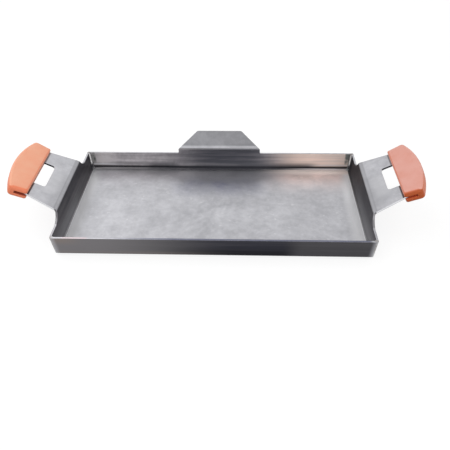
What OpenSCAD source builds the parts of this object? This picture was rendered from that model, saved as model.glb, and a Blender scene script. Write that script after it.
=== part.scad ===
// Camp griddle plate: a low tray folded from one steel sheet, with two handle plates, a rear tab,
// welded corners and two silicone grips that slip onto the handles.
// Frame: origin at the centre of the underside, +X along the tray to the right, +Y to the rear, +Z up.

/* [Tray] */
// Length over the end walls, outside, at the rim
tray_l = 500; // [420:5:580]
// Width over the front and rear walls, outside, at the rim
tray_w = 250; // [225:5:300]
// Height of the rim above the underside
wall_h = 36; // [26:1:45]
// Lean of every wall, outwards from upright, in degrees
flare = 4; // [3:0.5:12]
// Thickness of the sheet
sheet_t = 3.2; // [2:0.1:4]
// Inside radius of every fold
fold_r = 3; // [2:0.25:4]

/* [Corner welds] */
// Gap between two walls at a corner, filled by the weld
seam_gap = 4.4; // [4:0.1:5.5]
// Radius of the dressed outer edge of a weld
weld_r = 2.7; // [1:0.1:2.8]
// Radius of the bead along the inside of a corner
bead_r = 1.8; // [1:0.1:2.5]

/* [Handles] */
// Slope of a handle plate above level, in degrees
handle_slope = 28; // [20:1:38]
// Height of a handle's fold line above the rim
handle_rise = 15; // [10:1:20]
// Distance of both handles in front of the tray's middle
handle_shift = 3.5; // [0:0.5:8]
// Width of a handle at its fold line
handle_root_w = 143; // [120:1:150]
// Lean of a handle's sides towards each other, in degrees
handle_taper = 11; // [5:1:12]
// Radius where the rim sweeps up into a handle
handle_sweep_r = 25; // [20:1:28]
// Radius of a handle's outer corners, inside the grip
handle_corner_r = 17; // [8:1:18]
// Length of the finger window
window_l = 59; // [45:1:70]
// Width of the finger window
window_w = 24; // [16:1:28]
// Distance from the fold line to the finger window
window_from = 32; // [28:1:42]
// Radius of the finger window's corners
window_r = 5; // [2:0.5:7]
// Width of the bar beyond the finger window
bar_w = 14; // [13:0.5:18]

/* [Rear tab] */
// Slope of the rear tab above level, in degrees
tab_slope = 45; // [30:1:60]
// Height of the tab's fold line above the rim
tab_rise = 8.5; // [7:0.5:14]
// Width of the tab at its fold line
tab_base_w = 152; // [120:1:180]
// Length of the tab from its fold line to its edge
tab_reach = 35; // [25:1:40]
// Lean of the tab's sides towards each other, in degrees
tab_taper = 45; // [30:1:50]
// Radius of the tab's outer corners
tab_corner_r = 6; // [2:0.5:10]
// Radius where the rim turns up into the tab
tab_foot_r = 2; // [1:0.25:3]

/* [Grips] */
// Length of a grip along its straight inner face
grip_l = 127; // [106:1:130]
// Thickness of a grip
grip_t = 21; // [17:0.5:26]
// Depth of a grip at mid-length, across the bar
grip_d = 41; // [36:0.5:50]
// Depth of a grip at its ends
grip_end_d = 27; // [24:0.5:32]
// Lean of a grip's end faces, outwards from square, in degrees
grip_end_lean = 8; // [0:1:12]
// Radius along a grip's outer edges and under its ends
grip_edge_r = 4.5; // [2:0.5:6]
// Radius over the top of a grip's ends
grip_end_r = 7; // [3:0.5:8]
// Radius along a grip's inner edges
grip_inner_r = 3; // [1:0.5:5]
// Depth of the pocket that takes the handle's bar
pocket_d = 19; // [17.5:0.5:21]
// Clearance between the end of a grip's pocket and the handle's bar
grip_clear = 0.4; // [0.3:0.05:0.8]
// Clearance above and below the handle in a grip's slot
slot_clear = 0.8; // [0.4:0.05:0.9]

/* [Hidden] */

$fn = 96;
// How far an arc crosses the straight edges that it blends into
blend = 0.02;
// How far a cutting shape runs past what it cuts
spare = 12;

// Folds: the outside radius, and a wall's run in section, from the floor's edge outwards
fold_out_r = fold_r + sheet_t;
wall_dir = [sin(flare), cos(flare)];
wall_out = [cos(flare), -sin(flare)];
floor_fold = [0, fold_out_r];
foot_in = floor_fold + fold_r * wall_out;
foot_out = floor_fold + fold_out_r * wall_out;
rim_in = foot_in + wall_dir * (wall_h - foot_in[1]) / wall_dir[1];
rim_out = rim_in + sheet_t * wall_out;
wall_run = rim_out[0];
floor_l = tray_l - 2 * wall_run;
floor_w = tray_w - 2 * wall_run;

// Corners: the seam's half-width measured along a wall, the corner lines' lean, half the angle
// between two walls, and where the inside and outside corner lines meet the underside's level
seam_half = seam_gap / sqrt(2);
corner_lean = atan(sqrt(2) * tan(flare));
corner_half = 90 - acos(pow(sin(flare), 2)) / 2;
corner_in = foot_in[0] - foot_in[1] * tan(flare);
corner_out = foot_out[0] - foot_out[1] * tan(flare);

// Handles and grips
handle_reach = window_from + window_w + bar_w;
grip_from = handle_reach + grip_clear - pocket_d;
grip_mid = -sheet_t / 2;
grip_half_out = grip_l / 2 + grip_end_d * tan(grip_end_lean);
grip_bulge = grip_d - grip_end_d;
grip_arc_r = (pow(grip_half_out, 2) + pow(grip_bulge, 2)) / (2 * grip_bulge);
grip_arc_at = grip_from + grip_d - grip_arc_r;

// Finishes
steel = [0.70, 0.70, 0.72];
weld_steel = [0.62, 0.60, 0.58];
silicone = [0.95, 0.60, 0.44];

// Point in a wall's section where a plate folds away, on the inner face, at a height above the rim
function fold_point(rise) = rim_in + wall_dir * rise / wall_dir[1];

// Direction of a folded plate in section, and the direction square to it, upwards
function plate_dir(slope) = [cos(slope), sin(slope)];
function plate_up(slope) = [-sin(slope), cos(slope)];

// Centre of the fold between a wall and a plate
function plate_fold(rise, slope) =
    let (turn = 90 - flare - slope)
    fold_point(rise) - wall_dir * fold_out_r * tan(turn / 2) + fold_out_r * wall_out;

// Section of what lies within the outer face of a plain wall
module wall_outer() {
    inside = rim_out - 2 * spare * wall_out;
    polygon([
        [-2 * spare, 0],
        [0, 0],
        foot_out,
        rim_out,
        inside,
        [-2 * spare, inside[1]]
    ]);
    translate(floor_fold)
        circle(r = fold_out_r + blend);
}

// Section of what lies within the inner face of a plain wall
module wall_inner() {
    above = rim_in + spare * wall_dir;
    polygon([
        [-3 * spare, sheet_t],
        [0, sheet_t],
        foot_in,
        above,
        [-3 * spare, above[1]]
    ]);
    translate(floor_fold)
        circle(r = fold_r + blend);
}

// Section of a plain wall with its fold and a strip of the floor
module wall_section() {
    difference() {
        wall_outer();
        wall_inner();
    }
}

// Section of a wall that rises past the rim and folds outwards into a plate
module plate_section(rise, slope, reach) {
    fold = plate_fold(rise, slope);
    end = fold_point(rise) + reach * plate_dir(slope);
    low = end - sheet_t * plate_up(slope);
    high = end + spare * plate_up(slope);
    past = end + spare * plate_dir(slope);
    difference() {
        union() {
            polygon([
                [-2 * spare, 0],
                [0, 0],
                foot_out,
                fold - fold_r * wall_out,
                fold + fold_r * plate_up(slope),
                low,
                high,
                [-2 * spare, high[1]]
            ]);
            translate(floor_fold)
                circle(r = fold_out_r + blend);
        }
        translate(fold)
            circle(r = fold_r + blend);
        difference() {
            union() {
                polygon([
                    [-3 * spare, sheet_t],
                    [0, sheet_t],
                    foot_in,
                    fold - fold_out_r * wall_out,
                    fold + fold_out_r * plate_up(slope),
                    past,
                    [past[0], high[1] + spare],
                    [-3 * spare, high[1] + spare]
                ]);
                translate(floor_fold)
                    circle(r = fold_r + blend);
            }
            translate(fold)
                circle(r = fold_out_r + blend);
        }
    }
}

// Runs a section along a wall and mitres both ends, with the wall facing +X
module mitred_wall(floor_length, floor_width, height, reach) {
    half = floor_width / 2 - seam_half;
    translate([floor_length / 2, 0, 0])
        intersection() {
            rotate([90, 0, 0])
                linear_extrude(height = floor_width + 2 * reach + spare, center = true)
                    children();
            translate([0, 0, -spare])
                linear_extrude(height = height + 2 * spare)
                    polygon([
                        [-spare, spare - half],
                        [reach, -half - reach],
                        [reach, half + reach],
                        [-spare, half - spare]
                    ]);
        }
}

// Places children in a plate's frame: X up the plate from its fold line, Z square to its upper face
module on_plate(floor_length, rise, slope) {
    at = fold_point(rise);
    translate([floor_length / 2 + at[0], 0, at[1]])
        rotate([0, -slope, 0])
            children();
}

// Places children in a raised wall's frame: X up the wall from the rim, Z square to its inner face
module on_rim(floor_length) {
    translate([floor_length / 2 + rim_in[0], 0, rim_in[1]])
        rotate([0, flare - 90, 0])
            children();
}

// Cuts the rim level outside a raised part, and sweeps it up into the part with a radius
module rim_waste(half, sweep_r, wall_half, reach) {
    for (side = [0, 1])
        mirror([0, side, 0]) {
            translate([0, half, -reach])
                cube([reach + spare, wall_half - half + spare, reach + spare]);
            translate([sweep_r, half, -reach])
                cylinder(r = sweep_r + blend, h = reach + spare);
        }
}

// Outline cut away on both sides of a plate: past its leaning side, and round its outer corner
module plate_waste(from, root_half, taper, reach, corner_r, wall_half) {
    past = reach + spare;
    corner_at = reach - corner_r;
    corner = [corner_at, root_half - corner_at * tan(taper) - corner_r / cos(taper)];
    for (side = [0, 1])
        mirror([0, side]) {
            polygon([
                [from, root_half - from * tan(taper)],
                [past, root_half - past * tan(taper)],
                [past, wall_half],
                [from, wall_half]
            ]);
            difference() {
                polygon([
                    corner,
                    corner + (corner_r + spare) * [sin(taper), cos(taper)],
                    [past, corner[1] + corner_r + spare],
                    [past, corner[1]]
                ]);
                translate(corner)
                    circle(r = corner_r + blend);
            }
        }
}

// Outline of the finger window, with its inner edge on Y
module window_outline() {
    translate([window_r, -window_l / 2])
        square([window_w - 2 * window_r, window_l]);
    translate([0, window_r - window_l / 2])
        square([window_w, window_l - 2 * window_r]);
    for (x = [window_r, window_w - window_r], y = [-1, 1])
        translate([x, y * (window_l / 2 - window_r)])
            circle(r = window_r + blend);
}

// End wall on the right with its handle plate, bar and finger window
module end_wall() {
    rise = handle_rise / wall_dir[1];
    turn = 90 - flare - handle_slope;
    lean = atan(tan(handle_taper) / cos(turn));
    meet = (handle_sweep_r * (1 - sin(lean)) - rise) / cos(turn);
    root_half = handle_root_w / 2;
    sweep_half = root_half - meet * tan(handle_taper) + handle_sweep_r * cos(lean);
    wall_half = floor_w / 2 + wall_run + handle_reach + handle_shift;
    difference() {
        mitred_wall(floor_l, floor_w, wall_h + handle_rise + handle_reach, wall_run + handle_reach)
            plate_section(handle_rise, handle_slope, handle_reach);
        translate([0, -handle_shift, 0]) {
            on_rim(floor_l)
                rim_waste(sweep_half, handle_sweep_r, wall_half, handle_reach);
            on_plate(floor_l, handle_rise, handle_slope)
                translate([0, 0, -spare])
                    linear_extrude(height = 2 * spare) {
                        plate_waste(meet, root_half, handle_taper, handle_reach, handle_corner_r, wall_half);
                        translate([window_from, 0])
                            window_outline();
                    }
        }
    }
}

// Rear wall with its folded tab, built facing +X
module tab_wall() {
    half = tab_base_w / 2;
    wall_half = floor_l / 2 + wall_run + tab_reach;
    difference() {
        mitred_wall(floor_w, floor_l, wall_h + tab_rise + tab_reach, wall_run + tab_reach)
            plate_section(tab_rise, tab_slope, tab_reach);
        on_rim(floor_w) {
            rim_waste(half + tab_foot_r, tab_foot_r, wall_half, tab_reach);
            for (side = [0, 1])
                mirror([0, side, 0])
                    translate([tab_foot_r, half, -tab_reach])
                        cube([tab_reach + spare, spare, tab_reach + spare]);
        }
        on_plate(floor_w, tab_rise, tab_slope)
            translate([0, 0, -spare])
                linear_extrude(height = 2 * spare)
                    plate_waste(0, half, tab_taper, tab_reach, tab_corner_r, half + spare);
    }
}

// The whole folded sheet: floor, four walls, two handle plates and the rear tab
module griddle_tray() {
    color(steel) {
        translate([-floor_l / 2, -floor_w / 2, 0])
            cube([floor_l, floor_w, sheet_t]);
        for (side = [0, 1])
            mirror([side, 0, 0])
                end_wall();
        rotate([0, 0, 90])
            tab_wall();
        rotate([0, 0, -90])
            mitred_wall(floor_w, floor_l, wall_h, wall_run)
                wall_section();
    }
}

// Runs a section along both walls of a corner and keeps what the two have in common
module corner_solid() {
    run = 4 * spare;
    intersection() {
        rotate([90, 0, 0])
            linear_extrude(height = run, center = true)
                children();
        rotate([0, 0, 90])
            rotate([90, 0, 0])
                linear_extrude(height = run, center = true)
                    children();
    }
}

// Places children on a corner line of the rear right corner: X outwards, Z up along the line
module on_corner(foot) {
    translate([foot, foot, 0])
        rotate([0, corner_lean, 45])
            children();
}

// Strip cut off along the outside corner line to round it
module corner_waste() {
    centre = weld_r / sin(corner_half);
    side = (weld_r + spare) * [sin(corner_half), cos(corner_half)];
    translate([0, 0, -spare])
        linear_extrude(height = wall_h + 3 * spare)
            difference() {
                polygon([
                    [-centre, 0],
                    [side[0] - centre, -side[1]],
                    [spare, -side[1]],
                    [spare, side[1]],
                    [side[0] - centre, side[1]]
                ]);
                translate([-centre, 0])
                    circle(r = weld_r + blend);
            }
}

// Weld of the rear right corner: it fills the seam, is rounded outside and leaves a bead inside
module corner_weld() {
    translate([floor_l / 2, floor_w / 2, 0]) {
        difference() {
            intersection() {
                corner_solid()
                    wall_outer();
                translate([0, 0, -spare])
                    linear_extrude(height = wall_h + 2 * spare)
                        polygon([
                            [0, 0],
                            [0, -seam_half],
                            [wall_run + spare, wall_run + spare - seam_half],
                            [wall_run + spare - seam_half, wall_run + spare],
                            [-seam_half, 0]
                        ]);
            }
            corner_solid()
                wall_inner();
            on_corner(corner_out)
                corner_waste();
        }
        intersection() {
            corner_solid()
                wall_inner();
            on_corner(corner_in)
                cylinder(r = bead_r, h = wall_h / cos(corner_lean));
        }
    }
}

// Places the corner weld at one corner: right is 0 or 1, rear is 0 or 1
module weld_at(right, rear) {
    color(weld_steel)
        mirror([1 - right, 0, 0])
            mirror([0, 1 - rear, 0])
                corner_weld();
}

module front_left_weld() {
    weld_at(0, 0);
}

module front_right_weld() {
    weld_at(1, 0);
}

module rear_left_weld() {
    weld_at(0, 1);
}

module rear_right_weld() {
    weld_at(1, 1);
}

// Half section of a disc whose rim carries the grip's rounded outer edges
module grip_rim_section() {
    half = grip_t / 2;
    inner = grip_arc_r - grip_d - spare;
    translate([inner, -half])
        square([grip_arc_r - grip_edge_r - inner, grip_t]);
    translate([inner, grip_edge_r - half])
        square([grip_arc_r - inner, grip_t - 2 * grip_edge_r]);
    for (side = [-1, 1])
        translate([grip_arc_r - grip_edge_r, side * (half - grip_edge_r)])
            circle(r = grip_edge_r + blend);
}

// Strip cut off along an edge at the origin to round it: the edge runs along Y, the solid lies at -X, -Z
module edge_waste(length, radius) {
    rotate([90, 0, 0])
        linear_extrude(height = length, center = true)
            difference() {
                translate([-radius, -radius])
                    square(radius + spare);
                translate([-radius, -radius])
                    circle(r = radius + blend);
            }
}

// Wedge of the grip with its straight edges rounded, on the inner face and both ends
module grip_wedge() {
    half_in = grip_l / 2;
    length = 2 * grip_half_out + 2 * spare;
    past = grip_d + spare;
    difference() {
        linear_extrude(height = grip_t, center = true)
            polygon([
                [0, -half_in],
                [past, -half_in - past * tan(grip_end_lean)],
                [past, half_in + past * tan(grip_end_lean)],
                [0, half_in]
            ]);
        for (face = [0, 1])
            mirror([0, 0, face])
                translate([0, 0, grip_t / 2]) {
                    mirror([1, 0, 0])
                        edge_waste(length, grip_inner_r);
                    for (end = [0, 1])
                        mirror([0, end, 0])
                            translate([0, half_in, 0])
                                rotate([0, 0, 90 + grip_end_lean])
                                    edge_waste(length, face == 0 ? grip_end_r : grip_edge_r);
                }
    }
}

// Grip in a handle plate's frame: a block with a curved outer side and a pocket for the bar
module grip_shape() {
    length = 2 * grip_half_out + 2 * spare;
    difference() {
        intersection() {
            translate([grip_from, 0, grip_mid])
                grip_wedge();
            translate([grip_arc_at, 0, grip_mid])
                rotate_extrude(angle = 360)
                    grip_rim_section();
        }
        translate([grip_from - spare, -length / 2, grip_mid - sheet_t / 2 - slot_clear])
            cube([pocket_d + spare, length, sheet_t + 2 * slot_clear]);
    }
}

// Places a grip on a handle: right is 0 or 1
module grip_at(right) {
    color(silicone)
        mirror([1 - right, 0, 0])
            translate([0, -handle_shift, 0])
                on_plate(floor_l, handle_rise, handle_slope)
                    grip_shape();
}

module left_grip() {
    grip_at(0);
}

module right_grip() {
    grip_at(1);
}

griddle_tray();
front_left_weld();
front_right_weld();
rear_left_weld();
rear_right_weld();
left_grip();
right_grip();
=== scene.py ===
"""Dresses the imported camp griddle: bare folded steel, dressed corner welds and silicone grips."""

from __future__ import annotations

import logging
import math
from dataclasses import dataclass
from enum import Enum
from typing import Any, Dict, List, Mapping, Optional, Sequence, Tuple, Union

import bmesh
import bpy
from mathutils import Matrix, Vector


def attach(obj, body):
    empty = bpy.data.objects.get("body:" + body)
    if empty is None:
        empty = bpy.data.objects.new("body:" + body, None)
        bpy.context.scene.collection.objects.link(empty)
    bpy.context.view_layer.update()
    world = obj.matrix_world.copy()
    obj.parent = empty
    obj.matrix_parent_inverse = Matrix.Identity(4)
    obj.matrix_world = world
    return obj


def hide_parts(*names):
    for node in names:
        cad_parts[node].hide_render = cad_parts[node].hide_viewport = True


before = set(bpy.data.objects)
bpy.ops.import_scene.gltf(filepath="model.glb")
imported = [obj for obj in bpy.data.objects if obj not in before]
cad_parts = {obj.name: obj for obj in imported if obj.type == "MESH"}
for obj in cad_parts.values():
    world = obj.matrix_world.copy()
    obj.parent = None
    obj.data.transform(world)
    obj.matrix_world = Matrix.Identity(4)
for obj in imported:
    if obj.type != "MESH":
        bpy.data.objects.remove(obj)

log = logging.getLogger("griddle")

Colour = Tuple[float, float, float]
Point2 = Tuple[float, float]
Point3 = Tuple[float, float, float]
Plan = List[Point2]
Key = Union[int, str]
Scalar = Union["Signal", float]
Input = Union["Signal", float, Sequence[float]]

WELD_DISTANCE = 1.0e-6
NOISE_MEAN = 0.5
FACES_SQUARELY: Point2 = (0.6, 0.9)
FACES_MOSTLY: Point2 = (0.25, 0.7)


class Side(Enum):
    """An end of the tray: the sign of X there."""

    LEFT = -1
    RIGHT = 1


class Row(Enum):
    """A long wall of the tray: the sign of Y there."""

    FRONT = -1
    REAR = 1


class Signal:
    """One output of a shader node, with arithmetic that adds Math nodes."""

    def __init__(self, graph: Graph, socket: bpy.types.NodeSocket) -> None:
        """Keeps the graph that the socket is in, and the socket."""
        self.graph = graph
        self.socket = socket

    def sibling(self, output: Key) -> Signal:
        """Returns another output of the same node."""
        return Signal(self.graph, self.socket.node.outputs[output])

    def maths(self, operation: str, *values: Scalar) -> Signal:
        """Adds a Math node on these values."""
        return self.graph.node("ShaderNodeMath", {"operation": operation}, dict(enumerate(values)))

    def __add__(self, other: Scalar) -> Signal:
        """Adds."""
        return self.maths("ADD", self, other)

    def __radd__(self, other: Scalar) -> Signal:
        """Adds, with the number first."""
        return self.maths("ADD", other, self)

    def __sub__(self, other: Scalar) -> Signal:
        """Subtracts."""
        return self.maths("SUBTRACT", self, other)

    def __rsub__(self, other: Scalar) -> Signal:
        """Subtracts from a number."""
        return self.maths("SUBTRACT", other, self)

    def __mul__(self, other: Scalar) -> Signal:
        """Multiplies."""
        return self.maths("MULTIPLY", self, other)

    def __rmul__(self, other: Scalar) -> Signal:
        """Multiplies, with the number first."""
        return self.maths("MULTIPLY", other, self)

    def __neg__(self) -> Signal:
        """Changes the sign."""
        return -1.0 * self

    def __abs__(self) -> Signal:
        """Drops the sign."""
        return self.maths("ABSOLUTE", self)

    def either(self, other: Scalar) -> Signal:
        """Returns the larger of two values."""
        return self.maths("MAXIMUM", self, other)

    def rise(self, low: float, high: float) -> Signal:
        """Returns 0 below low, 1 above high and a smooth step between them."""
        return self.graph.node(
            "ShaderNodeMapRange",
            {"interpolation_type": "SMOOTHSTEP"},
            {"Value": self, "From Min": low, "From Max": high, "To Min": 0.0, "To Max": 1.0},
        )

    def fall(self, low: float, high: float) -> Signal:
        """Returns 1 below low, 0 above high and a smooth step between them."""
        return 1.0 - self.rise(low, high)

    def band(self, low: float, high: float, soft: float) -> Signal:
        """Returns 1 between low and high, and fades over soft on both sides."""
        return self.rise(low - soft, low) * self.fall(high, high + soft)


class Graph:
    """The node tree of one material or of the world, built from expressions."""

    def __init__(self, owner: Union[bpy.types.Material, bpy.types.World]) -> None:
        """Empties the node tree of a material or a world.

        Args:
            owner: What the tree belongs to.
        """
        owner.use_nodes = True
        self.tree = owner.node_tree
        self.tree.nodes.clear()

    def node(
        self,
        kind: str,
        settings: Optional[Mapping[str, Any]] = None,
        inputs: Optional[Mapping[Key, Input]] = None,
        output: Key = 0,
    ) -> Signal:
        """Adds a node, sets it up and feeds its sockets.

        Args:
            kind: The node's type.
            settings: Values of the node's own properties, set first.
            inputs: Numbers, colours or signals, by socket.
            output: The socket to return.

        Returns:
            The chosen output.
        """
        made = self.tree.nodes.new(kind)
        for key, value in (settings or {}).items():
            setattr(made, key, value)
        for key, value in (inputs or {}).items():
            if isinstance(value, Signal):
                self.tree.links.new(value.socket, made.inputs[key])
            else:
                made.inputs[key].default_value = value
        return Signal(self, made.outputs[output]) if len(made.outputs) else Signal(self, made.inputs[0])

    def split(self, vector: Signal) -> Tuple[Signal, Signal, Signal]:
        """Returns the three parts of a vector."""
        x = self.node("ShaderNodeSeparateXYZ", {}, {0: vector}, "X")
        return x, x.sibling("Y"), x.sibling("Z")

    def stretched(self, vector: Signal, scale: Point3) -> Signal:
        """Returns a vector multiplied part by part."""
        return self.node("ShaderNodeVectorMath", {"operation": "MULTIPLY"}, {0: vector, 1: scale})

    def mix(self, factor: Scalar, low: Input, high: Input) -> Signal:
        """Mixes two colours.

        Args:
            factor: 0 for low and 1 for high.
            low: The first colour.
            high: The second colour.

        Returns:
            The mixed colour.
        """
        colours = [tuple(c) + (1.0,) if isinstance(c, tuple) else c for c in (low, high)]
        return self.node(
            "ShaderNodeMix", {"data_type": "RGBA"}, {0: factor, 6: colours[0], 7: colours[1]}, 2
        )

    def noise(self, vector: Signal, scale: float, detail: float = 4.0, rough: float = 0.55) -> Signal:
        """Returns cloudy noise.

        Args:
            vector: Where it is read.
            scale: Clouds to the metre.
            detail: How many finer layers it has.
            rough: How strong the finer layers are.

        Returns:
            A value around 0.
        """
        cloudy = self.node(
            "ShaderNodeTexNoise",
            {},
            {"Vector": vector, "Scale": scale, "Detail": detail, "Roughness": rough},
        )
        return cloudy - NOISE_MEAN

    def bump(
        self, height: Signal, strength: float, depth: float, normal: Optional[Signal] = None
    ) -> Signal:
        """Returns a normal that follows a height.

        Args:
            height: The height, as a share of the depth.
            strength: Share of the effect.
            depth: Depth of the relief in metres.
            normal: The normal to start from.

        Returns:
            The new normal.
        """
        inputs: Dict[Key, Input] = {"Height": height, "Strength": strength, "Distance": depth}
        if normal is not None:
            inputs["Normal"] = normal
        return self.node("ShaderNodeBump", {}, inputs)

    def seen(self) -> Signal:
        """Returns 1 for the rays that show a thing, and 0 for those that light one."""
        camera = self.node("ShaderNodeLightPath", output="Is Camera Ray")
        return camera + camera.sibling("Is Glossy Ray") + camera.sibling("Is Transmission Ray")

    def wear(self, radius: float) -> Tuple[Signal, Signal]:
        """Finds the edges of a piece.

        Args:
            radius: How far an edge reaches, in metres.

        Returns:
            The normal with its edges softened, and how well it agrees with the true one.
        """
        soft = self.node("ShaderNodeBevel", {"samples": 4}, {"Radius": radius})
        true = self.node("ShaderNodeNewGeometry", output="Normal")
        agree = self.node(
            "ShaderNodeVectorMath", {"operation": "DOT_PRODUCT"}, {0: soft, 1: true}, "Value"
        )
        return soft, agree


@dataclass(frozen=True)
class Finish:
    """A surface that is made into a material."""

    name: str = "finish"

    def paint(self, g: Graph) -> Signal:
        """Returns the finish's shader."""
        raise NotImplementedError

    def make(self) -> bpy.types.Material:
        """Builds the material.

        Returns:
            The finished material.
        """
        made = bpy.data.materials.new(self.name)
        g = Graph(made)
        g.node("ShaderNodeOutputMaterial", {}, {"Surface": self.paint(g)})
        return made


@dataclass(frozen=True)
class SheetPlaces:
    """Where the parts of the sheet begin: each pair runs from none of the part to all of it."""

    floor_ends: Point2 = (0.216, 0.238)
    above_floor: Point2 = (0.00321, 0.0033)
    rear_wall: Point2 = (0.1155, 0.1170)
    rear_rim: Point2 = (0.117, 0.119)
    handle_out: Point2 = (0.2515, 0.2535)
    handle_up: Point2 = (0.044, 0.048)
    grip_out: Point2 = (0.2965, 0.2995)
    tab_back: Point2 = (0.1255, 0.1280)
    tab_up: Point2 = (0.040, 0.043)


class Spot:
    """Where a point of the sheet is, which way it faces, and the steel's grain there."""

    def __init__(self, g: Graph, sheet: SheetPlaces) -> None:
        """Reads the place, the normal and the noises.

        Args:
            g: The material's graph.
            sheet: Where the sheet's parts begin.
        """
        place = g.node("ShaderNodeTexCoord", output="Object")
        self.x, self.y, self.z = g.split(place)
        self.nx, self.ny, self.nz = g.split(place.sibling("Normal"))
        self.out = abs(self.x)
        self.cloud = g.noise(place, 26.0, 5.0, 0.6)
        self.smudge = g.noise(g.stretched(place, (14.0, 20.0, 20.0)), 1.0, 3.0, 0.5)
        self.fine = g.noise(place, 110.0, 5.0, 0.65)
        self.rolled = g.noise(g.stretched(place, (6.0, 180.0, 180.0)), 1.0, 4.0, 0.65)
        self.across = g.noise(g.stretched(place, (180.0, 6.0, 180.0)), 1.0, 4.0, 0.65)
        flecks = g.noise(g.stretched(place, (95.0, 150.0, 95.0)), 1.0, 3.0, 0.6)
        self.scuff = flecks.rise(0.10, 0.22) * self.smudge.rise(-0.08, 0.08)
        # Painted light: the floor's strips by the end walls and along the rear fold are painted pale and
        # made less metallic, so they stay bright beside the dark walls.
        at_rear = self.x.fall(-0.12, -0.06) * self.y.rise(0.098, 0.114) * 0.32
        at_rear = at_rear + self.x.rise(0.06, 0.15) * self.y.rise(0.096, 0.111) * 1.15
        self.painted_light_strip = self.out.rise(*sheet.floor_ends).either(at_rear) * self.z.fall(0.0040, 0.0050)
        self.up = self.nz.rise(*FACES_MOSTLY)
        self.to_front = (-self.ny).rise(*FACES_SQUARELY)
        self.to_back = self.ny.rise(0.2, 0.6)
        self.to_end = abs(self.nx).rise(*FACES_SQUARELY)
        self.raised = self.z.rise(*sheet.above_floor)
        self.at_rear_wall = self.y.rise(*sheet.rear_wall)
        self.at_rear_rim = self.y.rise(*sheet.rear_rim)
        self.on_handle = self.out.rise(*sheet.handle_out) * self.z.rise(*sheet.handle_up)
        self.in_grip = self.out.rise(*sheet.grip_out)
        self.on_tab = self.y.rise(*sheet.tab_back) * self.z.rise(*sheet.tab_up)


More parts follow.
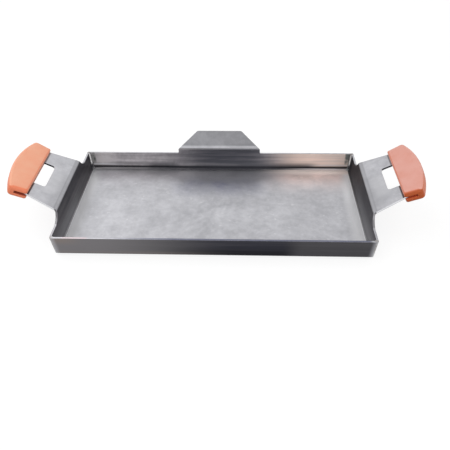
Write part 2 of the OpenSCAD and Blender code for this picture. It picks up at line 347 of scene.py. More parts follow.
@dataclass(frozen=True)
class SheetSteel(Finish):
    """Bare folded steel: polished by use on its flats, with a little heat tint; its walls, creases and
    cut edges are painted dark as painted shade and dark reflection, and the rear wall's right end is
    painted pale and warm as a painted reflection.
    """

    name: str = "sheet_steel"
    dull: Colour = (0.41, 0.41, 0.435)
    bright: Colour = (0.57, 0.57, 0.60)
    glint: Colour = (0.72, 0.72, 0.74)
    shade: Colour = (0.25, 0.25, 0.265)
    # A blue-grey: the front rim's darker tone and a ring under the burners.
    blue_grey: Colour = (0.130, 0.136, 0.195)
    blued: Colour = (0.130, 0.138, 0.235)
    # Painted shade and dark reflection: the darkest tone of the walls, creases and cut edges.
    heavy_shade: Colour = (0.022, 0.022, 0.027)
    # Painted dark reflection: the front wall's darkest low band.
    darkest_shade: Colour = (0.004, 0.004, 0.006)
    # The walls' lighter painted-reflection tone, also the grey scale under the burners.
    grey_oxide_and_shade: Colour = (0.165, 0.158, 0.165)
    # Painted dark reflection on the end walls.
    end_shade: Colour = (0.056, 0.054, 0.062)
    # Painted warm reflection at the rear wall's right end and the floor before it.
    warm_reflection: Colour = (0.90, 0.74, 0.66)
    rose: Colour = (0.72, 0.64, 0.64)
    pink: Colour = (0.56, 0.47, 0.49)
    green_oxide: Colour = (0.19, 0.20, 0.19)
    burnt: Colour = (0.20, 0.17, 0.155)
    # Painted shadow on the handle plates beside the grips.
    grip_shadow: Colour = (0.055, 0.026, 0.022)
    # Painted shade on the bar's edges inside the grips.
    grip_inside_shade: Colour = (0.17, 0.014, 0.006)
    # Painted light: a pale strip along the floor's ends and its rear fold.
    painted_pale: Colour = (0.87, 0.87, 0.89)
    wall_dull: Colour = (0.40, 0.375, 0.385)
    wall_bright: Colour = (0.70, 0.66, 0.67)
    # Painted shade and dark reflection on the rear wall and the tab's fold.
    wall_shade: Colour = (0.080, 0.080, 0.090)
    roughness: float = 0.33
    relief: float = 0.25
    relief_depth: float = 0.0006
    edge_reach: float = 0.0010
    lean: float = 0.07
    burner_x: float = 0.115
    handle_shift: float = 0.0035
    places: SheetPlaces = SheetPlaces()

    def flats(self, g: Graph, at: Spot) -> Signal:
        """Paints the floor, the rim, the handle plates and the tab.

        Args:
            g: The material's graph.
            at: The point.

        Returns:
            The colour.
        """
        low = at.z.fall(0.008, 0.012)
        # The floor's tone varies at random and is painted lighter towards the left end, as painted
        # light.
        tone = 0.47 + at.cloud * 1.5 + at.smudge * 1.2 + at.fine * 1.6 - at.x * 0.8
        colour = g.mix(tone, self.dull, self.bright)
        colour = g.mix(at.scuff * low * 0.5, colour, self.glint)
        # Painted light: the pale strip by the ends and the rear fold.
        colour = g.mix(at.painted_light_strip * 0.9, colour, self.painted_pale)
        patchy = 0.40 + at.cloud * 1.6 + at.smudge * 1.2
        # Under the tab the floor is painted dark blue-grey: partly a heat mark, partly a painted
        # reflection of the dark tab.
        stain_and_reflection = at.x.band(-0.045, 0.050, 0.055) * at.y.rise(0.018, 0.068) * at.y.fall(0.068, 0.108) * low
        colour = g.mix(stain_and_reflection * patchy, colour, self.blued)
        # Painted light: the floor by the rear wall under the tab is painted paler.
        lit_under_tab = at.x.band(-0.050, 0.090, 0.050) * at.y.rise(0.070, 0.108) * low
        colour = g.mix(lit_under_tab * (0.6 + at.smudge * 1.5), colour, self.glint)
        # Darker along the rear fold at the left.
        darker_rear_left = at.x.fall(-0.11, -0.06) * at.y.rise(0.080, 0.112) * low
        colour = g.mix(darker_rear_left * (0.55 + at.cloud * 2.0), colour, self.shade)
        rosy = at.x.rise(0.06, 0.14) * at.y.rise(0.030, 0.090) * low
        colour = g.mix(rosy * (0.6 + at.cloud * 2.0) * (1.0 - at.painted_light_strip * 0.5), colour, self.rose)
        # Painted reflection: a warm pale strip along the rear fold at the right.
        colour = g.mix(rosy * at.y.rise(0.098, 0.110) * 0.6, colour, self.warm_reflection)
        colour = self.handles(g, at, colour)
        # The front rim's top is painted darker from the middle to the right end, and pink at the far
        # left.
        rim = at.z.band(0.0352, 0.0364, 0.0006) * at.y.fall(-0.1215, -0.1190)
        colour = g.mix(rim * at.x.rise(-0.20, -0.05) * at.x.fall(0.236, 0.242) * 0.9, colour, self.blue_grey)
        colour = g.mix(rim * at.x.band(-0.228, -0.195, 0.006) * 0.8, colour, self.pink)
        # Painted shade: the lower part of the tab's fold is dark and its crest is dimmed.
        bend = at.at_rear_rim * at.z.band(0.038, 0.0455, 0.0007)
        colour = g.mix(bend * 0.9, colour, self.wall_shade)
        crest = at.at_rear_rim * at.z.band(0.0455, 0.0475, 0.0010)
        colour = g.mix(crest * (0.15 + at.x.rise(-0.02, 0.05) * 0.25), colour, self.shade)
        # The tab is painted dark as a stand-in for the dark reflection it shows: lighter at the left,
        # with random tone, and darker low at the right.
        tone = 0.10 - at.x * 1.5 + at.fine * 0.9 + at.cloud * 0.5
        tab = g.mix(tone, self.shade, self.dull)
        tab = g.mix(at.z.fall(0.0480, 0.0540) * at.x.rise(0.0, 0.05) * 0.2, tab, self.wall_shade)
        return g.mix(at.on_tab * at.z.rise(0.0460, 0.0472), colour, tab)

    def handles(self, g: Graph, at: Spot, colour: Signal) -> Signal:
        """Adds painted light and shade to the handle plates: painted shade at the fold and the root, a
        painted highlight by the window and a painted shadow beside the grip.

        Args:
            g: The material's graph.
            at: The point.
            colour: The plain colour of the flats.

        Returns:
            The colour.
        """
        # Painted shade at the plate's fold and root.
        fold = at.out.band(0.2455, 0.2530, 0.002) * at.z.rise(0.040, 0.044)
        root = at.on_handle * at.out.fall(0.254, 0.280) * at.y.fall(0.0, 0.04)
        colour = g.mix(root * 0.35, g.mix(fold * 0.55, colour, self.shade), self.shade)
        # Painted highlight by the window.
        lightened = at.on_handle * at.out.band(0.264, 0.275, 0.012) * at.y.band(-0.032, 0.000, 0.020)
        colour = g.mix(lightened * 0.25, colour, self.glint)
        # Painted shadow on the plate beside the grip's inner face, on both legs.
        leg = at.y.fall(-0.036, -0.031) * 0.9 + at.y.rise(0.023, 0.028) * 0.6
        return g.mix(at.on_handle * at.out.band(0.2916, 0.2940, 0.0010) * leg, colour, self.grip_shadow)

    def rear_wall(self, g: Graph, at: Spot) -> Signal:
        """Paints the rear wall: bare and painted lighter at the left, painted dark in the middle and
        pale and warm at the right as painted reflection, with painted shade at its foot.

        Args:
            g: The material's graph.
            at: The point.

        Returns:
            The colour.
        """
        streak = at.rolled * 3.0
        # Painted light: the left end is painted lighter.
        bright = at.x.fall(-0.22, -0.12) * 0.35 + at.x.fall(-0.215, -0.185) * 0.6
        colour = g.mix(0.14 + streak + bright + at.fine * 1.4, self.wall_dull, self.wall_bright)
        # Painted reflection: the right end is painted pale and warm.
        tint = at.x.rise(0.070, 0.15) * (0.92 + streak * 0.5)
        colour = g.mix(tint, colour, self.warm_reflection)
        # Painted reflection: the middle is painted dark.
        middle = at.x.rise(-0.15, -0.01) * at.x.fall(0.050, 0.18)
        colour = g.mix(middle * (0.97 - streak * 0.25), colour, self.wall_shade)
        # Painted shade: darker towards the foot of the wall, in bands.
        spots = at.x.band(0.050, 0.165, 0.030) * 0.7 + at.x.band(-0.125, -0.090, 0.020) * 0.5
        foot = at.z.fall(0.009, 0.020) * (0.2 + streak * 0.2 + spots)
        foot = foot.either(at.z.fall(0.0100, 0.0130) * at.x.rise(0.08, 0.14) * 0.45)
        colour = g.mix(foot, colour, self.wall_shade)
        corner = at.out.rise(0.2340, 0.2375) * at.z.rise(0.010, 0.018)
        colour = g.mix(corner * (0.8 + at.fine * 4.0), colour, self.green_oxide)
        # Painted highlight: a pale line across both ends.
        ends = at.x.fall(-0.23, -0.17) + at.x.rise(0.15, 0.20) * 0.5
        return g.mix(at.z.band(0.0110, 0.0128, 0.0006) * ends * 0.9, colour, self.glint)

    def end_walls(self, g: Graph, at: Spot) -> Signal:
        """Paints the end walls dark as painted reflection: lighter towards the front and the foot, with
        painted shade towards the rear.

        Args:
            g: The material's graph.
            at: The point.

        Returns:
            The colour.
        """
        # The end walls' dark tone is painted reflection, lighter towards the front and the foot.
        lightened = at.y.fall(-0.11, 0.02) * 0.55 + at.z.fall(0.006, 0.042) * 0.6
        lightened = lightened - at.x.rise(-0.1, 0.1) * 0.15 + at.across * 1.62 - 0.12
        colour = g.mix(lightened, self.end_shade, self.grey_oxide_and_shade)
        colour = g.mix(at.z.fall(0.005, 0.034) * at.y.fall(-0.03, 0.05) * 0.6, colour, self.shade)
        # Painted shade: darker at the rear corners, and over the right end wall towards its rear.
        darker_back = at.x.rise(-0.05, 0.05) * (0.25 + at.y.rise(0.02, 0.10) * 0.45) * at.y.rise(-0.09, 0.0)
        colour = g.mix(at.y.rise(0.106, 0.118).either(darker_back), colour, self.heavy_shade)
        # Near the corners: partly grinding marks, partly a painted highlight on the rounded corner.
        ground_and_highlight = (abs(at.y) - at.z * self.lean).rise(0.1120, 0.1220) * (at.x * at.nx).rise(0.05, 0.15)
        return g.mix(ground_and_highlight * 0.75, colour, self.dull)

    def long_walls(self, g: Graph, at: Spot) -> Signal:
        """Paints the outside of the long walls dark as painted reflection: grey at the left, darkest
        past the middle, with a little burnt tint.

        Args:
            g: The material's graph.
            at: The point.

        Returns:
            The colour.
        """
        # The dark base is painted reflection, grey at the left and a little at the right.
        grey = at.x.fall(-0.19, 0.04) + at.x.rise(0.105, 0.14) * 0.25
        colour = g.mix(grey, self.heavy_shade, self.grey_oxide_and_shade)
        colour = g.mix(at.z.rise(0.018, 0.034) * 0.12 + at.rolled * 0.5, colour, self.grey_oxide_and_shade)
        colour = g.mix(at.x.fall(-0.232, -0.195) * at.z.rise(0.018, 0.032) * 0.7, colour, self.burnt)
        colour = g.mix(at.z.fall(0.006, 0.012) * at.x.fall(-0.10, 0.05) * 0.35, colour, self.burnt)
        # Painted reflection: a dark line along the bottom fold.
        colour = g.mix(at.z.fall(0.0025, 0.0065) * 0.6, colour, self.heavy_shade)
        # Painted reflection: darkest low in the middle, with a faint blue tint above.
        darkest_middle = at.x.rise(-0.10, 0.03) * at.x.fall(0.100, 0.130)
        colour = g.mix(at.z.fall(0.008, 0.022) * darkest_middle * 0.45, colour, self.darkest_shade)
        colour = g.mix(at.z.rise(0.008, 0.022) * darkest_middle * 0.045, colour, self.blued)
        # Near the corners: partly grinding marks, partly a painted highlight on the rounded corner.
        ground_and_highlight = (at.out - at.z * self.lean).rise(0.2370, 0.2470)
        return g.mix(ground_and_highlight * 0.75, colour, self.dull)

    def walls(self, g: Graph, at: Spot) -> Signal:
        """Paints the four walls and the folds at their feet.

        Args:
            g: The material's graph.
            at: The point.

        Returns:
            The colour.
        """
        rear_face = at.ny.rise(*FACES_SQUARELY) * at.y.rise(0.100, 0.112)
        outside = at.to_front * at.y.fall(-0.112, -0.100) + rear_face
        colour = g.mix(outside, self.end_walls(g, at), self.long_walls(g, at))
        inside = at.raised * at.nz.rise(-0.1, 0.1)
        # Painted shade: a dark line in the rear wall's foot crease, narrower at the left.
        bare = at.x.fall(-0.12, -0.06) * at.z.fall(0.0046, 0.0056)
        swept = bare.either(at.z.fall(0.0036, 0.0050)) * 0.3
        crease = inside * at.z.fall(0.0078, 0.0102) * (1.0 - swept)
        rear = g.mix(crease, self.rear_wall(g, at), self.heavy_shade)
        rear = g.mix(inside * at.x.rise(0.11, 0.19) * at.z.fall(0.0040, 0.0058) * 0.55, rear, self.rose)
        turned = at.to_end.either(at.to_back)
        return g.mix(at.at_rear_wall * (1.0 - turned), colour, rear)

    def edges(self, g: Graph, at: Spot) -> Signal:
        """Paints the laser-cut edges of the handle plates and the tab.

        Args:
            g: The material's graph.
            at: The point.

        Returns:
            The colour.
        """
        window = abs(at.y).fall(0.036, 0.042) * at.out.band(0.270, 0.305, 0.002)
        cut = g.mix(at.fine * 1.4 + 0.5, self.bright, self.glint)
        # Painted shade: the bar's edges inside the grip are dark red.
        cut = g.mix(at.in_grip, cut, self.grip_inside_shade)
        # Painted shade: the window's front-facing cut face is dark.
        return g.mix(window * at.to_front, cut, self.heavy_shade)

    def underside(self, g: Graph, at: Spot) -> Signal:
        """Paints the underside: rings of heat tint over the two burners, plain at its edges.

        Args:
            g: The material's graph.
            at: The point.

        Returns:
            The colour.
        """
        aside = at.out - self.burner_x
        spread = aside * aside + at.y * at.y + at.smudge * 0.006 + at.cloud * 0.003
        colour = g.mix(0.35 + at.cloud * 2.0 + at.rolled, self.shade, self.dull)
        colour = g.mix(spread.fall(0.0050, 0.0100) * 0.75, colour, self.burnt)
        colour = g.mix(spread.fall(0.0024, 0.0056) * 0.75, colour, self.blue_grey)
        core = spread.fall(0.0004, 0.0030) * (0.6 + at.fine * 2.0)
        return g.mix(core, colour, self.grey_oxide_and_shade)

    def paint(self, g: Graph) -> Signal:
        """Paints the flats, the walls and the worn edges.

        Args:
            g: The material's graph.

        Returns:
            The shader.
        """
        at = Spot(g, self.places)
        away = at.on_handle.either(at.on_tab)
        steep = g.mix(away, self.walls(g, at), self.edges(g, at))
        fold = at.raised * at.z.fall(0.0075, 0.010)
        below = (-at.nz).rise(*FACES_MOSTLY)
        colour = g.mix(at.up * (1.0 - fold) + below * away, steep, self.flats(g, at))
        colour = g.mix((-at.nz).rise(0.80, 0.98) * (1.0 - away), colour, self.underside(g, at))
        soft, agree = g.wear(self.edge_reach)
        tucked = at.on_handle * at.in_grip * abs(at.ny).rise(0.15, 0.5)
        tone = agree.fall(0.75, 0.97) * (0.30 + at.fine * 1.6) * (1.0 - tucked)
        colour = g.mix(tone, colour, self.dull)
        # Painted shade: the edges of the handle cut-outs are darkened, most at the rear right.
        swept = at.out.band(0.2440, 0.2530, 0.0006) * at.z.band(0.0370, 0.0500, 0.0010)
        swept = swept * abs(at.y + self.handle_shift).rise(0.066, 0.070) * abs(at.nx).fall(0.4, 0.7)
        colour = g.mix(swept * 0.8, colour, self.grey_oxide_and_shade)
        colour = g.mix(swept * at.x.rise(0.0, 0.1) * at.y.rise(0.0, 0.05), colour, self.heavy_shade)
        grain = 0.5 * (at.rolled + at.across)
        scale = at.x.rise(0.075, 0.16) * at.y.rise(0.095, 0.110) * (1.0 - at.up)
        scaly = at.to_end * (1.0 - away)
        hazy = at.out.rise(0.190, 0.215) * at.at_rear_wall * at.z.rise(0.009, 0.012) * (1.0 - at.to_back)
        metal = 1.0 - at.painted_light_strip.either(tucked * 1.5).either(hazy * 0.8) * 0.6
        rough = self.roughness + at.cloud * 0.20 + grain * 0.14
        rough = rough + scale * 0.3 + scaly * 0.2 + tucked * 0.5
        height = at.fine * 0.4 + at.cloud * 0.4 + grain * 0.2
        relief = g.bump(height, self.relief, self.relief_depth, soft)
        return g.node(
            "ShaderNodeBsdfPrincipled",
            {},
            {"Base Color": colour, "Roughness": rough, "Metallic": metal, "Normal": relief},
        )


@dataclass(frozen=True)
class WeldSteel(Finish):
    """A weld dressed with a disc: bright, with grinding lines and a trace of heat tint."""

    name: str = "weld_steel"
    bright: Colour = (0.40, 0.40, 0.41)
    tint: Colour = (0.26, 0.23, 0.21)
    # The colour towards the corner's foot: plain on the welds, painted shade on the beads.
    foot: Colour = (0.40, 0.40, 0.41)
    roughness: float = 0.36
    relief: float = 0.3
    relief_depth: float = 0.0004

    def paint(self, g: Graph) -> Signal:
        """Paints the ground metal.

        Args:
            g: The material's graph.

        Returns:
            The shader.
        """
        place = g.node("ShaderNodeTexCoord", output="Object")
        cloud = g.noise(place, 160.0, 3.0)
        lines = g.noise(g.stretched(place, (60.0, 60.0, 900.0)), 1.0, 3.0, 0.6)
        colour = g.mix(cloud * 2.2 + 0.35, self.bright, self.tint)
        # Towards the bottom the colour turns to the foot colour.
        colour = g.mix(g.split(place)[2].fall(0.010, 0.017), colour, self.foot)
        rough = self.roughness + lines * 0.3
        relief = g.bump(lines * 0.7 + cloud * 0.3, self.relief, self.relief_depth)
        return g.node(
            "ShaderNodeBsdfPrincipled",
            {},
            {"Base Color": colour, "Roughness": rough, "Metallic": 1.0, "Normal": relief},
        )


@dataclass(frozen=True)
class HandlePlate:
    """The sloped plate that a grip slips over, as it is at the right end of the tray."""

    root: Point3 = (0.247857, -0.0035, 0.051)
    slope: float = 28.0
    middle: float = -0.0016
    pocket: float = 0.0704
    slot_half: float = 0.0024


@dataclass(frozen=True)
class Silicone(Finish):
    """Moulded orange silicone: a pale painted highlight on top, fine grain, lighter edges and a slot
    painted dark as painted shade.
    """

    name: str = "orange_silicone"
    body: Colour = (0.93, 0.26, 0.13)
    # The front end's colour: the body colour on the left grip, darker on the right grip as painted
    # shade.
    shaded_front_end: Colour = (0.93, 0.26, 0.13)
    # Painted highlight: the pale top and inner face.
    pale_highlight: Colour = (0.94, 0.45, 0.29)
    lightened: Colour = (0.94, 0.52, 0.38)
    # Painted shade inside the slot.
    slot_shade: Colour = (0.40, 0.028, 0.005)
    roughness: float = 0.5
    sheen: float = 0.35
    relief: float = 0.2
    relief_depth: float = 0.0002
    edge_reach: float = 0.0012
    plate: HandlePlate = HandlePlate()

    def in_slot(self, x: Signal, z: Signal) -> Signal:
        """Finds the faces inside the grip's slot.

        Args:
            x: The point's distance along the tray.
            z: Its height.

        Returns:
            1 inside the slot and 0 elsewhere.
        """
        tilt, back, mouth = math.radians(self.plate.slope), self.plate.pocket, self.plate.slot_half
        out, rise = abs(x) - self.plate.root[0], z - self.plate.root[2]
        along = out * math.cos(tilt) + rise * math.sin(tilt)
        height = rise * math.cos(tilt) - out * math.sin(tilt) - self.plate.middle
        between = abs(height).fall(mouth - 0.0002, mouth + 0.0006)
        return between * along.fall(back - 0.0006, back + 0.0006)

    def paint(self, g: Graph) -> Signal:
        """Paints the silicone.

        Args:
            g: The material's graph.

        Returns:
            The shader.
        """
        place = g.node("ShaderNodeTexCoord", output="Object")
        x, y, z = g.split(place)
        nx, ny, nz = g.split(place.sibling("Normal"))
        cloud = g.noise(place, 45.0, 4.0)
        grain = g.noise(place, 1400.0, 2.0)
        soft, agree = g.wear(self.edge_reach)
        # Painted highlight: the up-facing faces and the inner face are painted paler.
        highlighted = nz.rise(0.68, 0.86) + (x * nx).fall(-0.27, -0.20) * 0.7
        # Painted shade: the front end takes its own colour, darker on the right grip.
        colour = g.mix((-ny).rise(0.45, 0.80) * y.fall(-0.055, -0.045), self.body, self.shaded_front_end)
        colour = g.mix(highlighted * (0.9 + cloud * 0.8), colour, self.pale_highlight)
        colour = g.mix(agree.fall(0.8, 0.98) * 0.4, colour, self.lightened)
        # Painted shade: the slot's inside is painted dark red.
        colour = g.mix(self.in_slot(x, z), colour, self.slot_shade)
        rough = self.roughness + cloud * 0.2 + grain * 0.1
        relief = g.bump(grain, self.relief, self.relief_depth, soft)
        return g.node(
            "ShaderNodeBsdfPrincipled",
            {},
            {
                "Base Color": colour,
                "Roughness": rough,
                "Specular IOR Level": self.sheen,
                "Normal": relief,
            },
        )


@dataclass(frozen=True)
class StudioFloor(Finish):
    """A plain white floor that keeps the object's shadow."""

    name: str = "studio_floor"
    paint_colour: Colour = (0.25, 0.25, 0.25)
    glow: float = 0.81

    def paint(self, g: Graph) -> Signal:
        """Adds a glow to the floor's paint for the rays that show it.

        Args:
            g: The material's graph.

        Returns:
            The shader.
        """
        lit = g.node("ShaderNodeBsdfDiffuse", {}, {"Color": self.paint_colour + (1.0,)})
        glow = g.node("ShaderNodeEmission", {}, {"Strength": g.seen() * self.glow})
        return g.node("ShaderNodeAddShader", {}, {0: lit, 1: glow})


def make_piece(
    name: str,
    rings: Sequence[Sequence[Vector]],
    material: bpy.types.Material,
    sharp: float,
) -> bpy.types.Object:
    """Skins a stack of closed rings and caps both ends.

    Args:
        name: The piece's name.
        rings: Rings of points, all with the same count.
        material: The finish.
        sharp: Edges that turn by more than this many degrees stay sharp.

    Returns:
        The piece's object.
    """
    mesh = bmesh.new()
    stack = [[mesh.verts.new(point) for point in ring] for ring in rings]
    count = len(rings[0])
    for low, high in zip(stack, stack[1:]):
        for i in range(count):
            j = (i + 1) % count
            mesh.faces.new((low[i], low[j], high[j], high[i]))
    mesh.faces.new(stack[0][::-1])
    mesh.faces.new(stack[-1])
    bmesh.ops.remove_doubles(mesh, verts=mesh.verts, dist=WELD_DISTANCE)
    bmesh.ops.recalc_face_normals(mesh, faces=mesh.faces)
    for face in mesh.faces:
        face.smooth = True
    for edge in mesh.edges:
        edge.smooth = edge.calc_face_angle(0.0) < math.radians(sharp)
    data = bpy.data.meshes.new(name)
    mesh.to_mesh(data)
    mesh.free()
    data.materials.append(material)
    made = bpy.data.objects.new(name, data)
    bpy.context.scene.collection.objects.link(made)
    return made


@dataclass(frozen=True)
class Insets:
    """How far a grip's plan is drawn in from its inner side, its ends and its outer rim."""

    inner: float = 0.0
    end: float = 0.0
    rim: float = 0.0

    def more(self, by: float) -> Insets:
        """Returns these insets with the same amount added to each."""
        return Insets(self.inner + by, self.end + by, self.rim + by)


@dataclass
class Grip:
    """A silicone grip with rounded corners, slotted to slip over a handle's bar."""

    side: Side
    finish: Silicone
    plate: HandlePlate = HandlePlate()
    inner: float = 0.0514
    half: float = 0.0635
    lean: float = 8.0
    rim_centre: float = -0.076334
    rim_radius: float = 0.168734
    thickness: float = 0.021
    inner_edge: float = 0.003
    end_edge: float = 0.007
    rim_edge: float = 0.0045
    crown: float = 0.0004
    inner_corner: float = 0.0035
    outer_corner: float = 0.006
    least_inner: float = 0.0012
    least_outer: float = 0.0025
    lip: float = 0.0004
    ridge: float = 0.00015
    crown_steps: Tuple[Point2, ...] = ((0.3, 0.003), (0.0, 0.0055))
    edge_steps: int = 12
    side_steps: int = 12
    inner_steps: int = 6
    end_steps: int = 5
    outer_steps: int = 8
    rim_steps: int = 16
    sharp: float = 35.0

    def outline(self, by: Insets) -> Plan:
        """Draws the grip's plan, seen square to the handle.

        Args:
            by: How far the line is drawn in from the grip's edges.

        Returns:
            Points from the middle of the inner side round to it again.
        """
        tilt = math.radians(self.lean)
        along = Vector((math.cos(tilt), math.sin(tilt)))
        inward = Vector((math.sin(tilt), -math.cos(tilt)))
        foot, hub = Vector((self.inner, self.half)), Vector((self.rim_centre, 0.0))
        near = max(self.inner_corner - by.inner / 2, self.least_inner)
        far = max(self.outer_corner - by.rim / 2, self.least_outer)

        start = foot + inward * (by.end + near)
        first = start + along * ((self.inner + by.inner + near - start.x) / along.x)
        start = foot + inward * (by.end + far) - hub
        reach = self.rim_radius - by.rim - far
        slant = start.dot(along)
        travel = math.sqrt(slant * slant - start.length_squared + reach * reach) - slant
        second = start + along * travel + hub
        turn = math.atan2(second.y, second.x - hub.x)

        side = self.inner + by.inner
        half = [Vector((side, first.y * i / self.side_steps)) for i in range(self.side_steps)]
        quarter = math.pi / 2 + tilt
        for i in range(self.inner_steps + 1):
            angle = math.pi + (quarter - math.pi) * i / self.inner_steps
            half.append(first + near * Vector((math.cos(angle), math.sin(angle))))
        leave, meet = half[-1], second - inward * far
        half += [leave.lerp(meet, i / self.end_steps) for i in range(1, self.end_steps)]
        for i in range(self.outer_steps + 1):
            angle = quarter + (turn - quarter) * i / self.outer_steps
            half.append(second + far * Vector((math.cos(angle), math.sin(angle))))
        for i in range(1, self.rim_steps + 1):
            angle = turn * (1.0 - i / self.rim_steps)
            half.append(hub + (self.rim_radius - by.rim) * Vector((math.cos(angle), math.sin(angle))))
        return [(p.x, p.y) for p in half] + [(p.x, -p.y) for p in half[-2:0:-1]]

    def core(self, proud: float = 0.0) -> Plan:
        """Returns the plan of the part behind the pocket."""
        return [(max(u, self.plate.pocket), v) for u, v in self.outline(Insets().more(-proud))]

    def lipped(self) -> Plan:
        """Draws the plan at the slot's mouth.

        Returns:
            The plan with its slotted sides drawn in a little.
        """
        pairs = zip(self.outline(Insets()), self.outline(Insets().more(self.lip)))
        back = self.plate.pocket - 2.0 * self.lip
        return [drawn if plain[0] < back else plain for plain, drawn in pairs]

    def rounded(self, height: float, end_edge: float) -> Insets:
        """Finds how far the rounded edges draw the plan in.

        Args:
            height: Distance from the grip's middle plane.
            end_edge: The radius along the ends.

        Returns:
            The insets there.
        """
        def inset(radius: float) -> float:
            """Returns how far an edge of this radius has turned in."""
            over = max(height - (self.thickness / 2 - self.crown - radius), 0.0)
            return radius - math.sqrt(max(radius * radius - over * over, 0.0))

        return Insets(inset(self.inner_edge), inset(end_edge), inset(self.rim_edge))

    def half_layers(self, end_edge: float) -> List[Tuple[float, Plan]]:
        """Lists the plans of one half, from its slot outwards.

        Args:
            end_edge: The radius along the ends of this half.

        Returns:
            Distances from the middle plane, each with a plan.
        """
        top, mouth = self.thickness / 2, self.plate.slot_half
        layers = [(mouth, self.core()), (mouth, self.lipped())]
        layers.append((mouth + self.lip, self.outline(Insets())))
        for i in range(1, self.edge_steps + 1):
            turned = math.sin(math.pi / 2 * i / self.edge_steps)
            height = top - self.crown - end_edge * (1.0 - turned)
            layers.append((height, self.outline(self.rounded(height, end_edge))))
        last = self.rounded(top - self.crown, end_edge)
        for short, by in self.crown_steps:
            layers.append((top - short * self.crown, self.outline(last.more(by))))
        return layers

    def layers(self) -> List[Tuple[float, Plan]]:
        """Lists the grip's plans from its underside to its top.

        Returns:
            Heights square to the handle, each with a plan.
        """
        below = [(-height, plan) for height, plan in reversed(self.half_layers(self.rim_edge))]
        flank = 2.0 * self.ridge
        seam = [(-flank, self.core()), (0.0, self.core(self.ridge)), (flank, self.core())]
        stack = below + seam + self.half_layers(self.end_edge)
        return [(self.plate.middle + height, plan) for height, plan in stack]

    def build(self) -> bpy.types.Object:
        """Builds the grip in place of its plain solid.

        Returns:
            The grip's object.
        """
        tilt, s = math.radians(self.plate.slope), float(self.side.value)
        x, y, z = self.plate.root
        root = Vector((s * x, y, z))
        u = Vector((s * math.cos(tilt), 0.0, math.sin(tilt)))
        w = Vector((-s * math.sin(tilt), 0.0, math.cos(tilt)))
        rings = [
            [root + u * a + Vector((0.0, b, 0.0)) + w * height for a, b in plan]
            for height, plan in self.layers()
        ]
        end = self.side.name.lower()
        made = make_piece(f"{end}_grip_moulding", rings, self.finish.make(), self.sharp)
        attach(made, f"grip_{end}")
        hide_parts(f"{end}_grip")
        return made


@dataclass
class WeldBead:
    """The rippled bead that a weld leaves down an inside corner."""

    side: Side
    row: Row
    foot: Point2 = (0.244291, 0.119291)
    flare: float = 4.0
    low: float = 0.0044
    high: float = 0.0352
    radius: float = 0.00205
    ripple: float = 0.00018
    pitch: float = 0.0021
    steps: int = 120
    fan: int = 8
    bow: float = 0.0011
    sink: float = 0.0001
    sharp: float = 60.0

    def ring(self, share: float) -> List[Vector]:
        """Returns one section of the bead.

        Args:
            share: How far up the corner it is, 0 to 1.

        Returns:
            Points from the corner out to one wall and round to the other.
        """
        z = self.low + (self.high - self.low) * share
        lean = math.tan(math.radians(self.flare)) * z
        corner = Vector((self.foot[0] + lean, self.foot[1] + lean))
        sunk = Vector((self.sink, self.sink))
        points = [corner + sunk]
        for i in range(self.fan + 1):
            angle = math.pi / 2 * i / self.fan
            turn = (z + self.bow * math.sin(2.0 * angle)) / self.pitch
            wave = abs(math.sin(math.pi * turn))
            reach = self.radius - self.ripple + 2.0 * self.ripple * wave
            points.append(corner - reach * Vector((math.cos(angle), math.sin(angle))))
        points[1] += sunk
        points[-1] += sunk
        return [Vector((self.side.value * p.x, self.row.value * p.y, z)) for p in points]

    def build(self, material: bpy.types.Material) -> bpy.types.Object:
        """Lays the bead in its corner.

        Args:
            material: The finish.

        Returns:
            The bead's object.
        """
        rings = [self.ring(i / self.steps) for i in range(self.steps + 1)]
        name = f"{self.row.name.lower()}_{self.side.name.lower()}_bead"
        made = make_piece(name, rings, material, self.sharp)
        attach(made, "tray")
        return made


@dataclass(frozen=True)
class Lamp:
    """A square soft lamp."""

    name: str
    at: Point3
    size: float
    watts: float


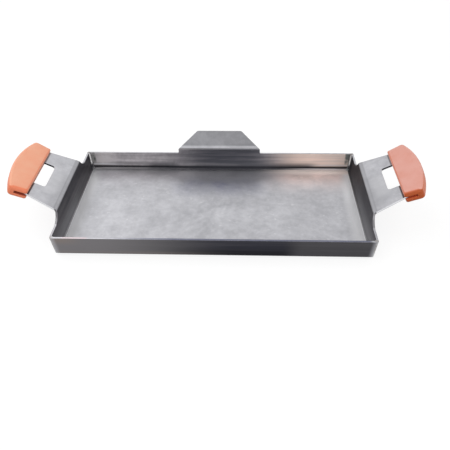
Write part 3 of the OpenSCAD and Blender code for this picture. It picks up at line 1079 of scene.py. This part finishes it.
@dataclass
class Studio:
    """The floor, the light and the camera."""

    camera_at: Point3 = (0.04787, -0.71082, 0.55252)
    camera_to: Point3 = (0.01636, -0.04524, 0.0)
    camera_roll: float = -1.0829
    lens_mm: float = 41.44
    sensor_mm: float = 36.0
    near_clip: float = 0.01
    floor_half: float = 6.0
    floor_drop: float = 0.0004
    lamps: Tuple[Lamp, ...] = (
        Lamp("key_lamp", (-1.1, 0.3, 1.35), 2.0, 10.0),
        Lamp("front_lamp", (0.65, -1.6, 0.6), 1.8, 11.5),
    )
    world_light: float = 0.68
    floor: StudioFloor = StudioFloor()

    def lay_floor(self) -> bpy.types.Object:
        """Lays the floor under the tray.

        Returns:
            The floor's object.
        """
        h, z = self.floor_half, -self.floor_drop
        mesh = bpy.data.meshes.new("studio_floor")
        mesh.from_pydata([(-h, -h, z), (h, -h, z), (h, h, z), (-h, h, z)], [], [(0, 1, 2, 3)])
        mesh.materials.append(self.floor.make())
        made = bpy.data.objects.new("studio_floor", mesh)
        bpy.context.scene.collection.objects.link(made)
        return made

    def hang(self, lamp: Lamp) -> None:
        """Hangs a soft lamp that shines at the tray's middle.

        Args:
            lamp: Its name, place, size and power.
        """
        data = bpy.data.lights.new(lamp.name, "AREA")
        data.shape = "SQUARE"
        data.size = lamp.size
        data.energy = lamp.watts
        hung = bpy.data.objects.new(lamp.name, data)
        hung.location = lamp.at
        hung.rotation_euler = (-Vector(lamp.at)).to_track_quat("-Z", "Y").to_euler()
        bpy.context.scene.collection.objects.link(hung)

    def light(self) -> None:
        """Hangs the lamps and sets the world."""
        for lamp in self.lamps:
            self.hang(lamp)
        world = bpy.data.worlds.new("studio")
        g = Graph(world)
        level = g.seen() * (1.0 - self.world_light) + self.world_light
        sky = g.node("ShaderNodeBackground", {}, {"Color": (1.0, 1.0, 1.0, 1.0), "Strength": level})
        g.node("ShaderNodeOutputWorld", {}, {"Surface": sky})
        bpy.context.scene.world = world

    def aim(self) -> None:
        """Puts the camera where the photograph was taken from."""
        data = bpy.data.cameras.new("camera")
        data.lens = self.lens_mm
        data.sensor_width = self.sensor_mm
        data.sensor_fit = "HORIZONTAL"
        data.clip_start = self.near_clip
        made = bpy.data.objects.new("camera", data)
        at, to = Vector(self.camera_at), Vector(self.camera_to)
        ahead = (to - at).normalized()
        level = ahead.cross(Vector((0.0, 0.0, 1.0))).normalized()
        above = level.cross(ahead)
        turn = math.radians(self.camera_roll)
        right = math.cos(turn) * level + math.sin(turn) * above
        up = right.cross(ahead)
        made.matrix_world = Matrix.Translation(at) @ Matrix((right, up, -ahead)).transposed().to_4x4()
        bpy.context.scene.collection.objects.link(made)
        bpy.context.scene.camera = made

    def build(self) -> None:
        """Sets up the floor, the light, the camera and the view transform."""
        self.lay_floor()
        self.light()
        self.aim()
        bpy.context.scene.view_settings.view_transform = "Standard"


def dress_node(name: str, material: bpy.types.Material) -> bpy.types.Object:
    """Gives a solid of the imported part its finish.

    Args:
        name: The node's name.
        material: The finish.

    Returns:
        The node's object.
    """
    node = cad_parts[name]
    node.data.materials.clear()
    node.data.materials.append(material)
    return node


@dataclass
class Tray:
    """The folded sheet with its four corner welds and their beads."""

    sheet: SheetSteel = SheetSteel()
    weld: WeldSteel = WeldSteel()
    # The beads are painted pale, partly as a painted highlight along them, and dark at the foot as
    # painted shade.
    bead: WeldSteel = WeldSteel(
        "bead_steel", bright=(0.80, 0.80, 0.80), tint=(0.55, 0.53, 0.51), foot=(0.06, 0.06, 0.065)
    )

    def dress(self) -> List[bpy.types.Object]:
        """Gives the sheet and the welds their finishes, and lays the beads.

        Returns:
            The sheet, then each weld with its bead.
        """
        weld, bead = self.weld.make(), self.bead.make()
        dressed = [dress_node("griddle_tray", self.sheet.make())]
        for row in Row:
            for side in Side:
                dressed.append(dress_node(f"{row.name.lower()}_{side.name.lower()}_weld", weld))
                dressed.append(WeldBead(side, row).build(bead))
        return dressed


def main() -> None:
    """Builds the studio, dresses each piece in order and reports it."""
    logging.basicConfig(level=logging.INFO, format="%(message)s")
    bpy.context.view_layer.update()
    Studio().build()
    pieces = Tray().dress()
    pieces.append(Grip(Side.LEFT, Silicone("left_silicone")).build())
    # The right grip is the same silicone, painted darker as painted shade, with a pinker painted
    # highlight and a brighter slot.
    shaded_copy = Silicone(
        "right_silicone",
        body=(0.68, 0.18, 0.085),
        shaded_front_end=(0.48, 0.090, 0.018),
        pale_highlight=(0.82, 0.41, 0.34),
        slot_shade=(0.80, 0.130, 0.024),
    )
    pieces.append(Grip(Side.RIGHT, shaded_copy).build())
    for piece in pieces:
        log.info("%s is in %s", piece.name, piece.data.materials[0].name)


if __name__ == "__main__":
    main()
